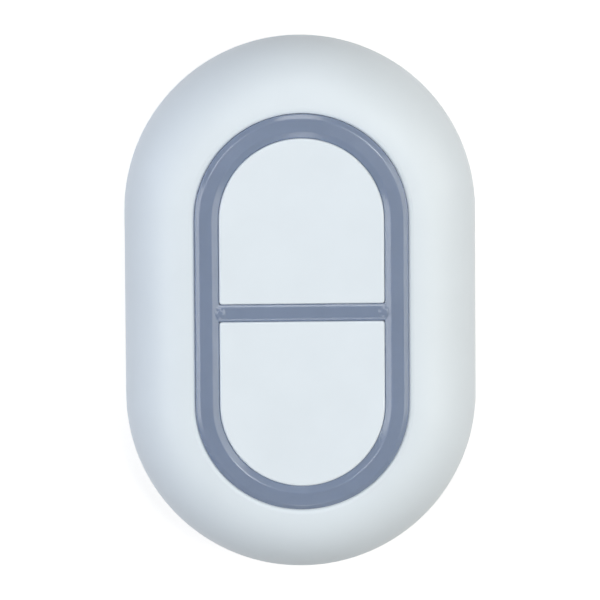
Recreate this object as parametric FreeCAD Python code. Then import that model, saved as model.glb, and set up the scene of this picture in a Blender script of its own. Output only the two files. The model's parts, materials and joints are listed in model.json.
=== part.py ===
import FreeCAD, Part
import math
import os

from FreeCAD import Vector

# Wireless panic button: a pillow-shaped oval box, 40 x 61 mm, with two half-oval keys set in a soft
# grey surround. Millimetres. The flat rear face lies on z = 0, +Z points out of the keys, +Y towards
# the upper key, and X runs across the button. The origin is the middle of the rear face.

# Outline, seen from the front: two half circles joined by straight flanks.
body_width = 40.0
straight_length = 21.1

# Front and rear shells.
shell_wall = 2.0
shell_lip = 1.65
parting_height = 4.5
parting_bevel = 0.15
shoulder_rise = 0.58
crown_reach = 0.55
brim_reach = 0.6
brim_drop = 0.2
brim_fullness = 0.55
rear_wall = 1.4
rear_round = 3.0
rear_fullness = 0.6
cavity_round = 1.8

# Tongue and groove between the shells, with the seal at the bottom of the groove.
tongue_inset = 0.72
tongue_width = 0.56
tongue_depth = 0.8
groove_clearance = 0.06
seal_height = 0.6

# Soft surround: a raised band with a crease on each side of its top, a crossbar and a hidden flange.
surround_width = 24.2
surround_gap = 0.02
band_width = 2.73
outer_slope = 0.52
outer_drop = 0.25
rim_round = 0.1
inner_slope = 0.8
inner_drop = 0.27
crease_round = 0.3
crest_rise = 0.12
flange_reach = 1.5
flange_thickness = 0.9
crest_over_shell = 0.6
bar_width = 1.98
bar_slope = 0.36
bar_drop = 0.14
bar_below_crest = 0.16
bar_tab_inset = 0.1
bar_tab_rise = 0.12
bar_tab_slope = 0.3
bar_web = 0.6

# Keys.
key_over_shell = 0.6
key_gap = 0.02
key_travel = 0.4
key_wall = 1.0
key_roof = 1.2
key_corner = 0.3
key_edge_round = 0.2
key_flange_reach = 0.6
key_flange_thickness = 0.9
key_lift_clearance = 0.15
key_stop_clearance = 0.15
key_stem_radius = 1.9
key_rib = 0.8
key_rib_depth = 1.3

# Inner frame that clamps the surround and carries the circuit board.
frame_plate = 1.0
frame_clearance = 0.1
frame_rim_rise = 0.5
frame_key_clearance = 0.35
stem_hole_clearance = 0.5
light_hole_radius = 0.8
standoff_radius = 1.7
standoff_inset = 2.9
standoff_y = 11.5
stake_radius = 0.5
stake_hole_clearance = 0.1
stake_head_radius = 0.8
stake_head_height = 0.35
stake_y = 6.5
skirt_wall = 0.7
skirt_depth = 1.9

# Circuit board and what stands on it.
board_thickness = 1.0
board_screw_shank = 0.7
board_screw_head = 1.4
board_screw_head_height = 0.9
board_screw_length = 3.0
chip_side = 5.0
chip_height = 0.85
chip_inset = 6.35
chip_pad_width = 0.3
chip_pad_gap = 0.5
crystal_length = 3.2
crystal_width = 2.5
crystal_can_height = 0.5
crystal_lid_height = 0.2
crystal_lid_inset = 0.2
crystal_gap = 0.85
capacitor_length = 1.6
capacitor_width = 0.8
capacitor_gap = 0.9
capacitor_count = 5
antenna_inset = 1.2
antenna_width = 0.9
antenna_sheet = 0.3
antenna_height = 1.9
antenna_span = 100.0
antenna_leg_span = 24.0
led_length = 1.6
led_width = 0.8
led_height = 0.5
led_lens_radius = 0.36
led_lens_height = 0.3

# Press switches under the keys.
switch_y = 10.0
switch_side = 6.0
switch_height = 2.2
switch_sheet = 0.2
switch_tab_depth = 0.9
plunger_radius = 1.6
plunger_rise = 0.8
plunger_flange_reach = 0.4
plunger_flange = 0.5
plunger_clearance = 0.15
plunger_play = 0.05
dome_radius = 2.1
dome_height = 0.55
dome_sheet = 0.12
dome_clearance = 0.02
frame_over_switch = 0.35
terminal_width = 0.7
terminal_reach = 1.3
terminal_rise = 0.75
terminal_spacing = 4.5

# Coin cell, its holder and its two contacts.
cell_radius = 10.0
cell_thickness = 3.2
cell_cap_radius = 8.7
cell_cap_height = 0.3
cell_edge_round = 0.4
cell_clearance = 0.15
contact_sheet = 0.2
contact_clearance = 0.2
contact_dimple = 0.1
dimple_radius = 0.8
strap_width = 5.0
strap_foot = 1.2
strap_gap = 0.4
spring_plate_length = 11.0
spring_plate_width = 3.0
holder_wall = 1.2
holder_drop = 3.0
holder_mouth = 9.0

# Screws that close the shells from the rear.
boss_radius = 1.75
boss_wall_gap = 0.35
boss_angle = 45.0
boss_clearance = 0.2
post_wall = 0.7
screw_shank = 0.95
screw_length = 7.4
screw_head = 1.5
screw_head_height = 1.1
screw_head_clearance = 0.15
screw_hole_clearance = 0.15
screw_sink = 0.4
pilot_clearance = 0.05
pilot_spare = 0.5
board_pilot_spare = 0.25
recess_arm = 0.9
recess_width = 0.35
recess_depth = 0.6
board_recess_share = 0.85

# Radii and half lengths worked out from the sizes above.
body_radius = body_width / 2
half_straight = straight_length / 2
surround_radius = surround_width / 2
opening_radius = surround_radius + surround_gap
lip_radius = surround_radius - band_width
flange_radius = surround_radius + flange_reach
skirt_radius = flange_radius + frame_clearance
key_radius = lip_radius - key_gap
key_edge_y = bar_width / 2 + key_gap
key_flange_edge_y = (key_edge_y + bar_web / 2) / 2
key_flange_radius = key_radius + key_flange_reach
key_pocket_radius = key_flange_radius + frame_key_clearance
boss_centre_radius = body_radius - shell_wall - boss_radius - boss_wall_gap
board_radius = boss_centre_radius - boss_radius - boss_clearance
standoff_x = board_radius - standoff_inset
chip_x = board_radius - chip_inset
tongue_outer = body_radius - tongue_inset
tongue_inner = tongue_outer - tongue_width
holder_radius = cell_radius + cell_clearance

# Heights from the rear face, stacked from back to front.
strap_bottom = rear_wall + contact_clearance
cell_bottom = strap_bottom + contact_sheet
cell_top = cell_bottom + cell_thickness
board_bottom = cell_top + contact_dimple + contact_sheet
board_top = board_bottom + board_thickness
switch_top = board_top + switch_height
switch_base_top = switch_top - switch_sheet
plunger_flange_top = switch_base_top - plunger_play
plunger_bottom = plunger_flange_top - plunger_flange
plunger_top = switch_top + plunger_rise
dome_floor = plunger_bottom - dome_clearance - dome_height
frame_bottom = switch_top + frame_over_switch
plate_top = frame_bottom + frame_plate
rim_top = plate_top + frame_rim_rise
key_flange_bottom = plate_top + key_stop_clearance + key_travel
key_flange_top = key_flange_bottom + key_flange_thickness
lip_bottom = key_flange_top + key_lift_clearance
shell_lip_bottom = rim_top + flange_thickness
shell_edge = shell_lip_bottom + shell_lip
crest = shell_edge + crest_over_shell
outer_crest = crest - crest_rise
bar_crest = crest - bar_below_crest
bar_foot = bar_crest - bar_drop
lip_top = crest - inner_drop
key_top = shell_edge + key_over_shell
seal_bottom = parting_height - tongue_depth - seal_height
screw_seat = screw_sink + screw_head_height


def point(radius, height):
    """A point of a section, drawn in the XZ plane with the middle of the button at x = 0."""
    return Vector(radius, 0, height)


def lines(*points):
    """Straight edges through points given as (radius, height)."""
    places = [point(*place) for place in points]
    return [Part.makeLine(start, end) for start, end in zip(places, places[1:])]


def curve(*poles):
    """One smooth edge that leaves its first pole towards the second and ends from the last but one."""
    bezier = Part.BezierCurve()
    bezier.setPoles([point(*pole) for pole in poles])
    return bezier.toShape()


def arc(start, middle, end):
    """Circular edge through three points of a section."""
    return Part.Arc(point(*start), point(*middle), point(*end)).toShape()


def rounded(corner, before, after, radius):
    """Arc that rounds a corner between two straight neighbours, all given as (radius, height)."""
    at = point(*corner)
    back = (point(*before) - at).normalize()
    ahead = (point(*after) - at).normalize()
    half_angle = back.getAngle(ahead) / 2
    setback = radius / math.tan(half_angle)
    centre = at + (back + ahead).normalize() * (radius / math.sin(half_angle))
    middle = centre + (at - centre).normalize() * radius
    return Part.Arc(at + back * setback, middle, at + ahead * setback).toShape()


def linked(edges):
    """Section face from edges in order, with straight links wherever two neighbours don't meet."""
    closed = []
    for index, edge in enumerate(edges):
        closed.append(edge)
        following = edges[(index + 1) % len(edges)]
        end = edge.lastVertex(True).Point
        start = following.firstVertex(True).Point
        if end.distanceToPoint(start) > 1e-6:
            closed.append(Part.makeLine(end, start))
    return Part.Face(Part.Wire(Part.__sortEdges__(closed)))


def around(section):
    """Carry a section round the oval: along both flanks and half a turn at each end."""
    flank = section.translated(Vector(0, -half_straight, 0)).extrude(Vector(0, straight_length, 0))
    end = section.translated(Vector(0, half_straight, 0))
    end = end.revolve(Vector(0, half_straight, 0), Vector(0, 0, 1), 180)
    opposite = [piece.rotated(Vector(), Vector(0, 0, 1), 180) for piece in (flank, end)]
    return flank.multiFuse([end] + opposite).removeSplitter()


def turned(section, x=0.0, y=0.0):
    """Full turn of a section about an upright axis at x, y."""
    return section.revolve(Vector(), Vector(0, 0, 1), 360).translated(Vector(x, y, 0))


def cylinder(radius, low, high, x=0.0, y=0.0):
    return Part.makeCylinder(radius, high - low, Vector(x, y, low))


def block(width, depth, low, high, x=0.0, y=0.0):
    """Upright block centred on x, y."""
    return Part.makeBox(width, depth, high - low, Vector(x - width / 2, y - depth / 2, low))


def oval(radius, low, high):
    """Solid oval slab, concentric with the body's outline."""
    slab = block(2 * radius, straight_length, low, high)
    ends = [cylinder(radius, low, high, 0, side * half_straight) for side in (-1, 1)]
    return slab.multiFuse(ends).removeSplitter()


def oval_ring(outer, inner, low, high):
    return oval(outer, low, high).cut(oval(inner, low, high))


def half_oval(radius, edge_y, low, high, corner=0.0):
    """Upper half of an oval slab, cut off straight at edge_y, with its two corners rounded."""
    slab = oval(radius, low, high)
    slab = slab.common(block(4 * radius, 4 * body_width, low, high, 0, edge_y + 2 * body_width))
    if corner:
        corners = [
            edge for edge in slab.Edges
            if abs(edge.BoundBox.YMax - edge_y) < 1e-6 and edge.BoundBox.ZLength > (high - low) / 2
        ]
        slab = slab.makeFillet(corner, corners)
    return slab


def four(x, y):
    """One place in each quarter of the button."""
    return [(x, y), (-x, y), (-x, -y), (x, -y)]


def boss_places():
    angle = math.radians(boss_angle)
    x = boss_centre_radius * math.sin(angle)
    y = half_straight + boss_centre_radius * math.cos(angle)
    return four(x, y)


def stake_places():
    """Pins on both flanks that hold the surround's flange and the inner frame."""
    x = (surround_radius + flange_radius) / 2
    return four(x, stake_y)


def drilled(shape, radius, low, high, places):
    for x, y in places:
        shape = shape.cut(cylinder(radius, low, high, x, y))
    return shape


def clear_of_bosses(shape):
    """Notch a piece inside the shells where the screw bosses pass it."""
    return drilled(shape, boss_radius + boss_clearance, 0, key_top, boss_places())


def crown():
    """Outer line of the front shell, from the parting bevel up and over to the opening."""
    foot = parting_height + parting_bevel
    brim = opening_radius + brim_reach
    rise = shell_edge - foot
    reach = body_radius - brim
    return curve(
        (body_radius, foot),
        (body_radius, foot + shoulder_rise * rise),
        (brim + crown_reach * reach, shell_edge),
        (brim, shell_edge),
    )


def crown_inside():
    """Inner line of the front shell, one wall inside the outer line."""
    top = shell_edge - shell_wall
    start = skirt_radius + skirt_wall
    rise = top - parting_height
    reach = body_radius - shell_wall - start
    return curve(
        (start, top),
        (start + crown_reach * reach, top),
        (body_radius - shell_wall, parting_height + shoulder_rise * rise),
        (body_radius - shell_wall, parting_height),
    )


def front_housing():
    """Pillow-shaped front shell with its opening, tongue, locating skirt, bosses and stakes."""
    bevelled = body_radius - parting_bevel
    opening = curve(
        (opening_radius + brim_reach, shell_edge),
        (opening_radius + brim_reach * (1 - brim_fullness), shell_edge),
        (opening_radius, shell_edge - brim_drop * (1 - brim_fullness)),
        (opening_radius, shell_edge - brim_drop),
    )
    skirt_foot = shell_lip_bottom - skirt_depth
    skirt = lines(
        (opening_radius, shell_lip_bottom),
        (skirt_radius, shell_lip_bottom),
        (skirt_radius, skirt_foot),
        (skirt_radius + skirt_wall, skirt_foot),
    )
    tongue_foot = parting_height - tongue_depth
    tongue = lines(
        (tongue_inner, parting_height),
        (tongue_inner, tongue_foot),
        (tongue_outer, tongue_foot),
        (tongue_outer, parting_height),
        (bevelled, parting_height),
    )
    shell = around(linked([crown(), opening] + skirt + [crown_inside()] + tongue))

    full = around(linked([crown()] + lines((0, shell_edge), (0, parting_height))))
    for x, y in boss_places():
        boss = cylinder(boss_radius, parting_height, shell_edge, x, y)
        shell = shell.fuse(boss.common(full))
    pilot_top = screw_seat + screw_length + pilot_spare
    shell = drilled(shell, screw_shank + pilot_clearance, 0, pilot_top, boss_places())

    for x, y in stake_places():
        stake = cylinder(stake_radius, frame_bottom - stake_head_height, shell_lip_bottom, x, y)
        head = cylinder(stake_head_radius, frame_bottom - stake_head_height, frame_bottom, x, y)
        shell = shell.multiFuse([stake, head])
    return shell.removeSplitter()


def rear_side():
    """Outer line of the rear shell, from its flat face out and up to the parting bevel."""
    top = parting_height - parting_bevel
    flat = body_radius - rear_round
    return curve(
        (flat, 0),
        (flat + rear_fullness * rear_round, 0),
        (body_radius, top * (1 - rear_fullness)),
        (body_radius, top),
    )


def rear_housing():
    """Rear shell: flat back, rounded edge, groove for tongue and seal, and four screw posts."""
    bevelled = body_radius - parting_bevel
    groove_outer = tongue_outer + groove_clearance
    groove_inner = tongue_inner - groove_clearance
    inside = body_radius - shell_wall
    groove = lines(
        (bevelled, parting_height),
        (groove_outer, parting_height),
        (groove_outer, seal_bottom),
        (groove_inner, seal_bottom),
        (groove_inner, parting_height),
        (inside, parting_height),
    )
    cavity_corner = rounded((inside, rear_wall), (inside, parting_height), (0, rear_wall), cavity_round)
    floor = lines((0, rear_wall), (0, 0))
    shell = around(linked([rear_side()] + groove + [cavity_corner] + floor))

    full = around(linked([rear_side()] + lines((bevelled, parting_height), (0, parting_height), (0, 0))))
    bore = screw_head + screw_head_clearance
    for x, y in boss_places():
        post = cylinder(bore + post_wall, 0, parting_height, x, y).common(full)
        inner = oval(groove_inner - post_wall, 0, parting_height)
        shell = shell.fuse(post.common(inner))
    shell = drilled(shell, bore, 0, screw_seat, boss_places())
    shell = drilled(shell, screw_shank + screw_hole_clearance, screw_seat, parting_height, boss_places())
    return shell.removeSplitter()


def housing_seal():
    """Soft ring at the bottom of the groove, pressed by the tongue."""
    return oval_ring(tongue_outer, tongue_inner, seal_bottom, parting_height - tongue_depth)


def band_section():
    """Section of the surround's band, with its two creases and the flange under the shell's lip."""
    outer_foot = (surround_radius, outer_crest - outer_drop)
    outer_wall = (surround_radius, shell_lip_bottom)
    outer_crease = (surround_radius - outer_slope, outer_crest)
    inner_crease = (lip_radius + inner_slope, crest)
    inner_foot = (lip_radius, lip_top)
    outer_round = rounded(outer_crease, outer_foot, inner_crease, crease_round)
    inner_round = rounded(inner_crease, outer_crease, inner_foot, crease_round)
    rim = rounded(outer_foot, outer_wall, outer_crease, rim_round)
    hidden = lines(
        inner_foot,
        (lip_radius, lip_bottom),
        (key_pocket_radius, lip_bottom),
        (key_pocket_radius, rim_top),
        (flange_radius, rim_top),
        (flange_radius, shell_lip_bottom),
        outer_wall,
    )
    return linked([outer_round, inner_round] + hidden + [rim])


def crossbar():
    """Rib between the keys: sloped sides, a round tab with a sloped side at each end, and a web below."""
    half = bar_width / 2
    flat = half - bar_slope
    profile = [
        (half, lip_bottom), (half, bar_foot), (flat, bar_crest), (-flat, bar_crest),
        (-half, bar_foot), (-half, lip_bottom), (-bar_web / 2, lip_bottom), (-bar_web / 2, plate_top),
        (bar_web / 2, plate_top), (bar_web / 2, lip_bottom), (half, lip_bottom),
    ]
    end = lip_radius + inner_slope
    corners = [Vector(-end, across, height) for across, height in profile]
    rib = Part.Face(Part.makePolygon(corners)).extrude(Vector(2 * end, 0, 0))
    rib = rib.cut(oval_ring(2 * end, lip_radius, plate_top, lip_bottom))
    for side in (-1, 1):
        middle = side * (lip_radius - bar_tab_inset)
        crown = Part.makeCone(flat, flat - bar_tab_slope, bar_tab_rise, Vector(middle, 0, bar_crest))
        rib = rib.multiFuse([cylinder(flat, bar_foot, bar_crest, middle, 0), crown])
    return rib.removeSplitter()


def silicone_surround():
    """Soft grey surround in one piece: band, crossbar and the flange clamped inside."""
    surround = around(band_section()).fuse(crossbar())
    hole = stake_radius + stake_hole_clearance
    surround = drilled(surround, hole, rim_top, shell_lip_bottom, stake_places())
    return clear_of_bosses(surround).removeSplitter()


def key():
    """Upper key: a half-oval cap with a retaining flange, a stem over the switch and stiffening ribs."""
    cap = half_oval(key_radius, key_edge_y, key_flange_bottom, key_top, key_corner)
    rim = [edge for edge in cap.Edges if edge.BoundBox.ZMin > key_top - 1e-6]
    cap = cap.makeFillet(key_edge_round, rim)
    flange = half_oval(
        key_flange_radius, key_flange_edge_y, key_flange_bottom, key_flange_top, key_corner
    )
    roof = key_top - key_roof
    hollow_edge = key_edge_y + key_wall
    hollow = half_oval(key_radius - key_wall, hollow_edge, key_flange_bottom, roof)
    cap = cap.fuse(flange).cut(hollow)

    stem = cylinder(key_stem_radius, plunger_top, key_top - key_roof / 2, 0, switch_y)
    rib_bottom = roof - key_rib_depth
    across = block(2 * key_radius - key_wall, key_rib, rib_bottom, roof, 0, switch_y)
    far_end = half_straight + key_radius - key_wall / 2
    near_end = key_edge_y + key_wall / 2
    along = block(key_rib, far_end - near_end, rib_bottom, roof, 0, (far_end + near_end) / 2)
    return cap.multiFuse([stem, across, along]).removeSplitter()


def inner_frame():
    """Moulded frame: clamps the surround's flange, guides the stems and carries the board."""
    frame = oval(flange_radius, frame_bottom, rim_top)
    frame = frame.cut(oval(key_pocket_radius, plate_top, rim_top))
    for x, y in four(standoff_x, standoff_y):
        frame = frame.fuse(cylinder(standoff_radius, board_top, frame_bottom, x, y))
    pilot = board_screw_shank + pilot_clearance
    pilot_top = board_bottom + board_screw_length + board_pilot_spare
    frame = drilled(frame, pilot, board_top, pilot_top, four(standoff_x, standoff_y))
    stems = [(0, switch_y), (0, -switch_y)]
    frame = drilled(frame, key_stem_radius + stem_hole_clearance, frame_bottom, plate_top, stems)
    frame = drilled(frame, light_hole_radius, frame_bottom, plate_top, [(0, 0)])
    frame = drilled(frame, stake_radius + stake_hole_clearance, frame_bottom, rim_top, stake_places())
    return clear_of_bosses(frame).removeSplitter()


def circuit_board():
    """Oval board that fits between the screw bosses."""
    board = oval(board_radius, board_bottom, board_top)
    hole = board_screw_shank + screw_hole_clearance
    return drilled(board, hole, board_bottom, board_top, four(standoff_x, standoff_y))


def crossed_screw(shank, length, head, head_height, head_bottom, share, x, y):
    """Pan-head screw that points forwards, with a cross recess in the rear face of its head."""
    seat = head_bottom + head_height
    screw = cylinder(head, head_bottom, seat, x, y).fuse(cylinder(shank, seat, seat + length, x, y))
    arm = 2 * recess_arm * share
    slot = recess_width * share
    recess_top = head_bottom + recess_depth * share
    screw = screw.cut(block(arm, slot, head_bottom, recess_top, x, y))
    return screw.cut(block(slot, arm, head_bottom, recess_top, x, y))


def housing_screws():
    return Part.makeCompound([
        crossed_screw(screw_shank, screw_length, screw_head, screw_head_height, screw_sink, 1, x, y)
        for x, y in boss_places()
    ])


def board_screws():
    head_bottom = board_bottom - board_screw_head_height
    return Part.makeCompound([
        crossed_screw(board_screw_shank, board_screw_length, board_screw_head,
                      board_screw_head_height, head_bottom, board_recess_share, x, y)
        for x, y in four(standoff_x, standoff_y)
    ])


def switch_base(y):
    """Moulded switch body with a round well for the snap dome."""
    base = block(switch_side, switch_side, board_top, switch_base_top, 0, y)
    well = plunger_radius + plunger_flange_reach + plunger_clearance
    return base.cut(cylinder(max(well, dome_radius + dome_clearance), dome_floor, switch_base_top, 0, y))


def switch_cover(y):
    """Sheet-metal lid with a round hole for the plunger and two sides folded down."""
    lid = block(switch_side, switch_side + 2 * switch_sheet, switch_base_top, switch_top, 0, y)
    for side in (-1, 1):
        tab_y = y + side * (switch_side + switch_sheet) / 2
        tab = block(switch_side, switch_sheet, switch_base_top - switch_tab_depth, switch_top, 0, tab_y)
        lid = lid.fuse(tab)
    hole = cylinder(plunger_radius + plunger_clearance, switch_base_top, switch_top, 0, y)
    return lid.cut(hole).removeSplitter()


def switch_plunger(y):
    """Round plunger with a flange that keeps it under the lid."""
    flange = plunger_radius + plunger_flange_reach
    button = cylinder(plunger_radius, plunger_bottom, plunger_top, 0, y)
    return button.fuse(cylinder(flange, plunger_bottom, plunger_flange_top, 0, y)).removeSplitter()


def cap_edge(radius, height, low):
    """Arc of a shallow dome, from its rim at the given radius to its top on the axis."""
    ball = (radius ** 2 + height ** 2) / (2 * height)
    centre = low + height - ball
    angle = math.asin(radius / ball) / 2
    middle = (ball * math.sin(angle), centre + ball * math.cos(angle))
    return arc((radius, low), middle, (0, low + height))


def switch_dome(y):
    """Snap dome of thin spring sheet, standing on its rim in the switch's well."""
    outer = cap_edge(dome_radius, dome_height, dome_floor)
    inner = cap_edge(dome_radius - dome_sheet, dome_height - dome_sheet, dome_floor)
    inner.reverse()
    return turned(linked([outer, inner]), 0, y)


def switch_terminals(y):
    """Four bent legs that carry the switch on the board."""
    legs = []
    for side_x, side_y in four(1, 1):
        leg_y = y + side_y * terminal_spacing / 2
        inner = switch_side / 2
        riser_x = side_x * (inner + switch_sheet / 2)
        foot_x = side_x * (inner + terminal_reach / 2)
        riser = block(switch_sheet, terminal_width, board_top, board_top + terminal_rise, riser_x, leg_y)
        foot = block(terminal_reach, terminal_width, board_top, board_top + switch_sheet, foot_x, leg_y)
        legs.append(riser.fuse(foot).removeSplitter())
    return Part.makeCompound(legs)


def coin_cell():
    """Flat round cell: a can with a rounded edge, and the smaller cap that faces the board."""
    shoulder = cell_top - cell_cap_height
    low_round = rounded((cell_radius, cell_bottom), (0, cell_bottom), (cell_radius, shoulder),
                        cell_edge_round)
    high_round = rounded((cell_radius, shoulder), (cell_radius, cell_bottom), (0, shoulder),
                         cell_edge_round)
    cap = lines((cell_cap_radius, shoulder), (cell_cap_radius, cell_top), (0, cell_top), (0, cell_bottom))
    return turned(linked([low_round, high_round] + cap))


def battery_holder():
    """Open ring under the board that keeps the cell in place, with a mouth to push it out."""
    low = board_bottom - holder_drop
    ring = cylinder(holder_radius + holder_wall, low, board_bottom)
    ring = ring.cut(cylinder(holder_radius, low, board_bottom))
    mouth = block(holder_mouth, 4 * holder_radius, low, board_bottom, 0, 2 * holder_radius)
    return ring.cut(mouth)


def positive_contact():
    """Sprung strap across the cell's flat side, folded up to the board on both sides."""
    inner = holder_radius + holder_wall + strap_gap
    outer = inner + contact_sheet
    strap = block(2 * outer, strap_width, strap_bottom, cell_bottom)
    for side in (-1, 1):
        leg_x = side * (inner + outer) / 2
        foot_x = side * (inner + strap_foot / 2)
        leg = block(contact_sheet, strap_width, strap_bottom, board_bottom, leg_x)
        foot = block(strap_foot, strap_width, board_bottom - contact_sheet, board_bottom, foot_x)
        strap = strap.multiFuse([leg, foot])
    return strap.removeSplitter()


def negative_contact():
    """Plate on the board with dimples that press on the cell's cap."""
    plate = block(spring_plate_width, spring_plate_length, board_bottom - contact_sheet, board_bottom)
    for side in (-1, 1):
        y = side * (spring_plate_length / 2 - 2 * dimple_radius)
        plate = plate.fuse(cylinder(dimple_radius, cell_top, board_bottom, 0, y))
    return plate.removeSplitter()


def radio_controller():
    """Square radio chip with a row of solder pads showing along each side."""
    chip = block(chip_side, chip_side, board_top, board_top + chip_height, chip_x, 0)
    pitch = chip_pad_width + chip_pad_gap
    per_side = int(chip_side / pitch) - 1
    for index in range(per_side):
        offset = (index - (per_side - 1) / 2) * pitch
        for side in (-1, 1):
            edge = side * chip_side / 2
            flat_pad = block(chip_pad_width, chip_pad_width, board_top, board_top + chip_pad_width / 2,
                             chip_x + edge, offset)
            side_pad = block(chip_pad_width, chip_pad_width, board_top, board_top + chip_pad_width / 2,
                             chip_x + offset, edge)
            chip = chip.multiFuse([flat_pad, side_pad])
    return chip.removeSplitter()


def crystal():
    """Low metal can that holds the radio's quartz crystal, with a raised lid."""
    y = chip_side / 2 + crystal_gap + crystal_width / 2
    can_top = board_top + crystal_can_height
    can = block(crystal_length, crystal_width, board_top, can_top, chip_x, y)
    lid_length = crystal_length - 2 * crystal_lid_inset
    lid_width = crystal_width - 2 * crystal_lid_inset
    lid = block(lid_length, lid_width, can_top, can_top + crystal_lid_height, chip_x, y)
    return can.fuse(lid).removeSplitter()


def capacitors():
    """Row of chip capacitors across from the radio."""
    middle = (capacitor_count - 1) / 2
    return Part.makeCompound([
        block(capacitor_length, capacitor_width, board_top, board_top + capacitor_width,
              -chip_x, (index - middle) * (capacitor_width + capacitor_gap))
        for index in range(capacitor_count)
    ])


def antenna():
    """Curved strip that follows the board's upper end on two folded legs."""
    low = board_top + antenna_height - antenna_sheet
    high = board_top + antenna_height
    outer = board_radius - antenna_inset
    inner = outer - antenna_width
    centre = Vector(0, half_straight, 0)
    upright = Vector(0, 0, 1)
    strip = Part.makeCylinder(outer, high - low, Vector(0, half_straight, low), upright, antenna_span)
    strip = strip.cut(cylinder(inner, low, high, 0, half_straight))
    leg = Part.makeBox(antenna_width, antenna_sheet, high - board_top,
                       Vector(inner, half_straight, board_top))
    strip = strip.multiFuse([leg, leg.rotated(centre, upright, antenna_leg_span)])
    quarter_turn = 90
    return strip.rotated(centre, upright, quarter_turn - antenna_span / 2).removeSplitter()


def status_led():
    """Small lamp under the crossbar: a flat carrier with a clear lens on it."""
    carrier = block(led_length, led_width, board_top, board_top + led_height)
    lens = cylinder(led_lens_radius, board_top + led_height, board_top + led_height + led_lens_height)
    return carrier.fuse(lens).removeSplitter()


def pieces():
    upper_key = key()
    shapes = {
        "front_housing": front_housing(),
        "rear_housing": rear_housing(),
        "housing_seal": housing_seal(),
        "silicone_surround": silicone_surround(),
        "upper_key": upper_key,
        "lower_key": upper_key.rotated(Vector(), Vector(0, 0, 1), 180),
        "inner_frame": inner_frame(),
        "circuit_board": circuit_board(),
        "coin_cell": coin_cell(),
        "battery_holder": battery_holder(),
        "positive_contact": positive_contact(),
        "negative_contact": negative_contact(),
        "radio_controller": radio_controller(),
        "crystal": crystal(),
        "capacitors": capacitors(),
        "antenna": antenna(),
        "status_led": status_led(),
        "housing_screws": housing_screws(),
        "board_screws": board_screws(),
    }
    for side, y in (("upper", switch_y), ("lower", -switch_y)):
        shapes[side + "_switch_base"] = switch_base(y)
        shapes[side + "_switch_cover"] = switch_cover(y)
        shapes[side + "_switch_plunger"] = switch_plunger(y)
        shapes[side + "_switch_dome"] = switch_dome(y)
        shapes[side + "_switch_terminals"] = switch_terminals(y)
    return shapes


os.makedirs("parts", exist_ok=True)
for name, shape in pieces().items():
    shape.exportStep(os.path.join("parts", name + ".step"))
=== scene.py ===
import json
import math

import bpy
from mathutils import Matrix, Vector


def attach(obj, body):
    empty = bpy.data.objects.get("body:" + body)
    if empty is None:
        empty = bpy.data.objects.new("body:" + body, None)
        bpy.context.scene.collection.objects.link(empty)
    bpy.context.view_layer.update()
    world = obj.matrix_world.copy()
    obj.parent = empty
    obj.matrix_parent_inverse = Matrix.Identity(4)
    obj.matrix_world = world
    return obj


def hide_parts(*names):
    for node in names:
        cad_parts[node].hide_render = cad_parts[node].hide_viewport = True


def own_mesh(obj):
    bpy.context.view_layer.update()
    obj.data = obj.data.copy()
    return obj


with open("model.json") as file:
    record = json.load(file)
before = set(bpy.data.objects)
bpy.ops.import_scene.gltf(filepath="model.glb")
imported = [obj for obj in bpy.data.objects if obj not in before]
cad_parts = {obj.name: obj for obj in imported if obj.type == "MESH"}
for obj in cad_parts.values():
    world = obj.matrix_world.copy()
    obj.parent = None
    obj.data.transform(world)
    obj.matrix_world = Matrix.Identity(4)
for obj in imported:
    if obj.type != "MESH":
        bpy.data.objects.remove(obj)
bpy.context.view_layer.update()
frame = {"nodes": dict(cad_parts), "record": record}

MM = 0.001
WHITE = (1.0, 1.0, 1.0)

# The camera looks down on the front from a little above its middle and to the left, slightly rolled.
CAMERA_DISTANCE = 0.9
CAMERA_TILT = math.radians(8.8)
CAMERA_SIDE = math.radians(-1.11)
CAMERA_ROLL = math.radians(0.376)
LOOK_AT = Vector((-0.04, 0.09, 4.5)) * MM
FRAMED_WIDTH = 600 / 8.753 * MM
SENSOR_WIDTH = 36.0
NEAREST_SEEN = 0.05
FARTHEST_SEEN = 10.0

# Soft lamps, all aimed at the object: a high and a low softbox on each side, one beyond each end, and two
# smaller ones high above that draw thin lights along the creases of the silicone.
LAMP_DISTANCE = 0.8
LAMPS = {
    "left_high": dict(azimuth=188, elevation=46, size=0.4, power=1.56, colour=(0.98, 1.0, 1.0)),
    "left_low": dict(azimuth=168, elevation=18, size=0.5, power=1.36, colour=(0.71, 0.78, 1.0)),
    "right_high": dict(azimuth=0, elevation=50, size=0.6, power=2.19, colour=(1.0, 0.985, 0.90)),
    "right_low": dict(azimuth=12, elevation=18, size=0.5, power=1.28, colour=(1.0, 0.94, 0.895)),
    "far": dict(azimuth=90, elevation=50, size=0.3, power=1.08, colour=(1.0, 1.0, 0.99)),
    "near": dict(azimuth=270, elevation=42, size=0.2, power=0.3, colour=(0.97, 0.98, 1.0)),
    "top_left": dict(azimuth=158, elevation=72, size=0.2, power=0.72, colour=WHITE),
    "top_right": dict(azimuth=26, elevation=71, size=0.2, power=1.05, colour=WHITE),
}
WORLD_STRENGTH = 0.02

# The floor lies a hair below the object. Its lift to white is FLOOR_LIFT near the object, where the shadow
# falls, and full beyond SHADOW_REACH.
FLOOR_WIDTH = 3.0
FLOOR_GAP = 0.02 * MM
FLOOR_TONE = 0.45
FLOOR_ROUGHNESS = 0.9
FLOOR_LIFT = 0.72
SHADOW_REACH = 0.2

# Surfaces: depth of the relief, share by which the gloss varies, and samples that soften an edge.
RELIEF_DEPTH = 0.01 * MM
BOARD_RELIEF_DEPTH = 0.02 * MM
GLOSS_SPREAD = 0.15
EDGE_SAMPLES = 8

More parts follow.
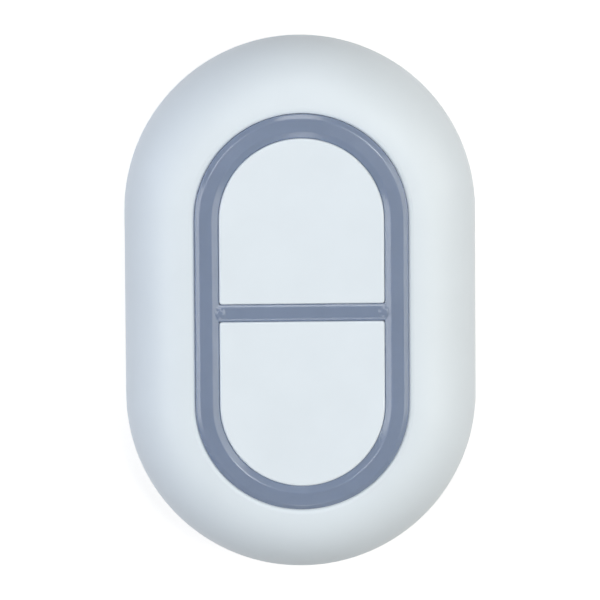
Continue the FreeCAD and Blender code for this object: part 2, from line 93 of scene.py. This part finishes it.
# Copper tracks that show through the board's solder mask: their pitch, and their width as a share of it.
TRACK_PITCH = 3.2 * MM
TRACK_SHARE = 0.05
TRACK_BLUR = 0.1


def add(data, name):
    thing = bpy.data.objects.new(name, data)
    bpy.context.scene.collection.objects.link(thing)
    return thing


def aim(thing, place, target, roll=0.0):
    """Put a camera or lamp at a place, looking at a target, with +Y towards the top of its view."""
    back = (place - target).normalized()
    right = Vector((0, 1, 0)).cross(back).normalized()
    top = back.cross(right)
    turn = Matrix((right, top, back)).transposed().to_4x4()
    thing.matrix_world = Matrix.Translation(place) @ turn @ Matrix.Rotation(roll, 4, "Z")


def make_camera():
    data = bpy.data.cameras.new("camera")
    data.sensor_width = SENSOR_WIDTH
    data.lens = SENSOR_WIDTH * CAMERA_DISTANCE / FRAMED_WIDTH
    data.clip_start = NEAREST_SEEN
    data.clip_end = FARTHEST_SEEN
    camera = add(data, "camera")
    across = math.sin(CAMERA_SIDE)
    along = math.sin(CAMERA_TILT)
    away = Vector((across, along, math.sqrt(1 - across ** 2 - along ** 2)))
    aim(camera, LOOK_AT + CAMERA_DISTANCE * away, LOOK_AT, roll=-CAMERA_ROLL)
    bpy.context.scene.camera = camera


def make_lamps():
    for name, lamp in LAMPS.items():
        data = bpy.data.lights.new(name, "AREA")
        data.shape = "DISK"
        data.size = lamp["size"]
        data.energy = lamp["power"]
        data.color = lamp["colour"]
        azimuth = math.radians(lamp["azimuth"])
        elevation = math.radians(lamp["elevation"])
        away = Vector((
            math.cos(azimuth) * math.cos(elevation),
            math.sin(azimuth) * math.cos(elevation),
            math.sin(elevation),
        ))
        aim(add(data, name), LOOK_AT + LAMP_DISTANCE * away, LOOK_AT)


def seen_white(nodes, links):
    """Strength that is 1 for camera, mirror and glass rays, and 0 for the light that falls on things."""
    path = nodes.new("ShaderNodeLightPath")
    total = path.outputs["Is Camera Ray"]
    for ray in ("Is Glossy Ray", "Is Transmission Ray"):
        either = nodes.new("ShaderNodeMath")
        either.operation = "MAXIMUM"
        links.new(total, either.inputs[0])
        links.new(path.outputs[ray], either.inputs[1])
        total = either.outputs[0]
    return total


def make_world():
    world = bpy.data.worlds.new("studio")
    world.use_nodes = True
    bpy.context.scene.world = world
    nodes = world.node_tree.nodes
    links = world.node_tree.links
    background = nodes["Background"]
    background.inputs["Color"].default_value = (*WHITE, 1)
    strength = nodes.new("ShaderNodeMapRange")
    strength.inputs["To Min"].default_value = WORLD_STRENGTH
    strength.inputs["To Max"].default_value = 1.0
    links.new(seen_white(nodes, links), strength.inputs["Value"])
    links.new(strength.outputs["Result"], background.inputs["Strength"])


def make_floor():
    """Plain floor: pale grey to the light that falls on it, lifted to white where it is seen."""
    half = FLOOR_WIDTH / 2
    mesh = bpy.data.meshes.new("floor")
    corners = [(x * half, y * half, -FLOOR_GAP) for x, y in ((-1, -1), (1, -1), (1, 1), (-1, 1))]
    mesh.from_pydata(corners, [], [(0, 1, 2, 3)])
    floor = add(mesh, "floor")
    material = bpy.data.materials.new("floor")
    material.use_nodes = True
    nodes = material.node_tree.nodes
    links = material.node_tree.links
    shader = nodes["Principled BSDF"]
    shader.inputs["Base Color"].default_value = (FLOOR_TONE, FLOOR_TONE, FLOOR_TONE, 1)
    shader.inputs["Roughness"].default_value = FLOOR_ROUGHNESS
    shader.inputs["Emission Color"].default_value = (*WHITE, 1)
    away = nodes.new("ShaderNodeVectorMath")
    away.operation = "LENGTH"
    links.new(nodes.new("ShaderNodeTexCoord").outputs["Object"], away.inputs[0])
    spread = nodes.new("ShaderNodeMapRange")
    spread.inputs["From Min"].default_value = SHADOW_REACH / 2
    spread.inputs["From Max"].default_value = SHADOW_REACH
    spread.inputs["To Min"].default_value = FLOOR_LIFT
    spread.inputs["To Max"].default_value = 1.0
    links.new(away.outputs["Value"], spread.inputs["Value"])
    lift = nodes.new("ShaderNodeMath")
    lift.operation = "MULTIPLY"
    links.new(seen_white(nodes, links), lift.inputs[0])
    links.new(spread.outputs["Result"], lift.inputs[1])
    links.new(lift.outputs[0], shader.inputs["Emission Strength"])
    mesh.materials.append(material)


class Surface:
    """A Principled material whose colour, gloss and relief are built up from procedural layers."""

    def __init__(self, name, colour, roughness, **sockets):
        self.material = bpy.data.materials.new(name)
        self.material.use_nodes = True
        self.nodes = self.material.node_tree.nodes
        self.links = self.material.node_tree.links
        self.shader = self.nodes["Principled BSDF"]
        for socket, value in sockets.items():
            self.shader.inputs[socket.replace("_", " ")].default_value = value
        self.where = self.nodes.new("ShaderNodeTexCoord").outputs["Object"]
        self.colour = colour
        self.roughness = roughness

    def noise(self, size, detail=2.0, stretch=(1, 1, 1)):
        """Noise with features of the given size in millimetres, longer along an axis by its stretch."""
        mapping = self.nodes.new("ShaderNodeMapping")
        mapping.inputs["Scale"].default_value = [1 / (size * MM * longer) for longer in stretch]
        self.links.new(self.where, mapping.inputs["Vector"])
        texture = self.nodes.new("ShaderNodeTexNoise")
        texture.inputs["Scale"].default_value = 1.0
        texture.inputs["Detail"].default_value = detail
        self.links.new(mapping.outputs["Vector"], texture.inputs["Vector"])
        return texture.outputs["Fac"]

    def ranged(self, value, low, high, start=0.3, stop=0.7):
        """Spread the middle of a texture's range between two values."""
        spread = self.nodes.new("ShaderNodeMapRange")
        spread.inputs["From Min"].default_value = start
        spread.inputs["From Max"].default_value = stop
        spread.inputs["To Min"].default_value = low
        spread.inputs["To Max"].default_value = high
        self.links.new(value, spread.inputs["Value"])
        return spread.outputs["Result"]

    def blend(self, share, first, second):
        """Mix two colours, each of them a colour or the output of another node."""
        mix = self.nodes.new("ShaderNodeMix")
        mix.data_type = "RGBA"
        for index, colour in ((6, first), (7, second)):
            if isinstance(colour, bpy.types.NodeSocket):
                self.links.new(colour, mix.inputs[index])
            else:
                mix.inputs[index].default_value = (*colour, 1)
        self.links.new(share, mix.inputs[0])
        return mix.outputs[2]

    def mottled(self, amount, size):
        """The colour a little darker and lighter in soft patches."""
        darker = [c * (1 - amount) for c in self.colour]
        lighter = [min(1, c * (1 + amount)) for c in self.colour]
        return self.blend(self.ranged(self.noise(size, detail=3.0), 0, 1), darker, lighter)

    def finish(self, colour, grain, strength, depth=RELIEF_DEPTH, soft_edge=0.0):
        """Join colour, uneven gloss, fine relief and softened edges to the shader."""
        self.links.new(colour, self.shader.inputs["Base Color"])
        glossiest = self.roughness * (1 - GLOSS_SPREAD)
        dullest = min(1, self.roughness * (1 + GLOSS_SPREAD))
        self.links.new(self.ranged(grain, glossiest, dullest), self.shader.inputs["Roughness"])
        bump = self.nodes.new("ShaderNodeBump")
        bump.inputs["Strength"].default_value = strength
        bump.inputs["Distance"].default_value = depth
        self.links.new(grain, bump.inputs["Height"])
        if soft_edge:
            bevel = self.nodes.new("ShaderNodeBevel")
            bevel.samples = EDGE_SAMPLES
            bevel.inputs["Radius"].default_value = soft_edge * MM
            self.links.new(bevel.outputs["Normal"], bump.inputs["Normal"])
        self.links.new(bump.outputs["Normal"], self.shader.inputs["Normal"])
        return self.material


def moulded(name, colour, roughness, mottle=0.015, size=9.0, soft_edge=0.0, **sockets):
    """Moulded plastic or rubber with a fine, even texture."""
    surface = Surface(name, colour, roughness, **sockets)
    tint = surface.mottled(mottle, size)
    return surface.finish(tint, surface.noise(size=0.1), strength=0.12, soft_edge=soft_edge)


def brushed(name, colour, roughness, stretch=(12, 1, 1)):
    """Metal sheet with short brush lines along one axis and a faint stain."""
    surface = Surface(name, colour, roughness, Metallic=1.0)
    tint = surface.mottled(amount=0.06, size=2.5)
    return surface.finish(tint, surface.noise(size=0.08, detail=3.0, stretch=stretch), strength=0.35)


def laminate(name, colour, copper, roughness):
    """Circuit board under solder mask, with paler copper tracks showing through it."""
    surface = Surface(name, colour, roughness)
    tracks = surface.nodes.new("ShaderNodeTexBrick")
    tracks.inputs["Scale"].default_value = 1 / TRACK_PITCH
    tracks.inputs["Mortar Size"].default_value = TRACK_SHARE
    tracks.inputs["Mortar Smooth"].default_value = TRACK_BLUR
    surface.links.new(surface.where, tracks.inputs["Vector"])
    tint = surface.blend(tracks.outputs["Fac"], surface.mottled(amount=0.08, size=1.5), copper)
    return surface.finish(tint, surface.noise(size=0.15), strength=0.15, depth=BOARD_RELIEF_DEPTH)


def make_materials():
    """One material for each slot of the record. Colours are linear, and sizes are in millimetres."""
    silicone = dict(
        colour=(0.211, 0.270, 0.388), roughness=0.14, mottle=0.03, size=3.0, soft_edge=0.22,
        Subsurface_Weight=0.8, Subsurface_Radius=(1, 1, 1), Subsurface_Scale=0.5 * MM)
    looks = {
        "housing_plastic": (moulded, dict(colour=(0.745, 0.815, 0.871), roughness=0.45)),
        "key_plastic": (moulded, dict(colour=(0.756, 0.826, 0.887), roughness=0.48, size=6.0)),
        "surround_silicone": (moulded, silicone),
        "seal_rubber": (moulded, dict(colour=(0.02, 0.02, 0.02), roughness=0.7, mottle=0.1, size=2.0)),
        "frame_plastic": (moulded, dict(colour=(0.60, 0.62, 0.64), roughness=0.5)),
        "board_laminate": (laminate, dict(
            colour=(0.01, 0.09, 0.03), copper=(0.03, 0.16, 0.06), roughness=0.3)),
        "cell_steel": (brushed, dict(colour=(0.60, 0.60, 0.58), roughness=0.32)),
        "can_steel": (brushed, dict(colour=(0.62, 0.62, 0.61), roughness=0.35)),
        "screw_steel": (brushed, dict(colour=(0.50, 0.51, 0.53), roughness=0.3, stretch=(4, 4, 1))),
        "contact_brass": (brushed, dict(colour=(0.72, 0.58, 0.30), roughness=0.3, stretch=(1, 12, 1))),
        "black_plastic": (moulded, dict(colour=(0.012, 0.012, 0.013), roughness=0.5, mottle=0.1, size=3.0)),
        "plunger_plastic": (moulded, dict(colour=(0.10, 0.025, 0.012), roughness=0.35, mottle=0.06, size=2.0)),
        "chip_black": (moulded, dict(colour=(0.014, 0.014, 0.016), roughness=0.45, mottle=0.1, size=1.0)),
        "chip_ceramic": (moulded, dict(colour=(0.34, 0.22, 0.12), roughness=0.4, mottle=0.08, size=0.6)),
        "lamp_clear": (moulded, dict(colour=(0.75, 0.75, 0.68), roughness=0.15, mottle=0.02, size=0.5)),
    }
    return {slot: make(slot, **look) for slot, (make, look) in looks.items()}


def dress_nodes(materials):
    """Give each CAD node the material of its slot in the record."""
    for row in frame["record"]["subparts"]:
        slots = frame["nodes"][row["node"]].data.materials
        slots.clear()
        slots.append(materials[row["material_slot"]])


def flatten_domes():
    """Stand a copy in for each snap dome on the root body and hide the CAD node. The real dome flattens under
    its plunger as the key goes down; the copy is not made to.
    """
    for side in ("upper", "lower"):
        node = side + "_switch_dome"
        dome = add(frame["nodes"][node].data.copy(), side + "_snap_dome")
        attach(dome, "root")
        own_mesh(dome)
        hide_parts(node)


bpy.context.scene.view_settings.view_transform = "Standard"
make_camera()
make_lamps()
make_world()
make_floor()
dress_nodes(make_materials())
flatten_domes()
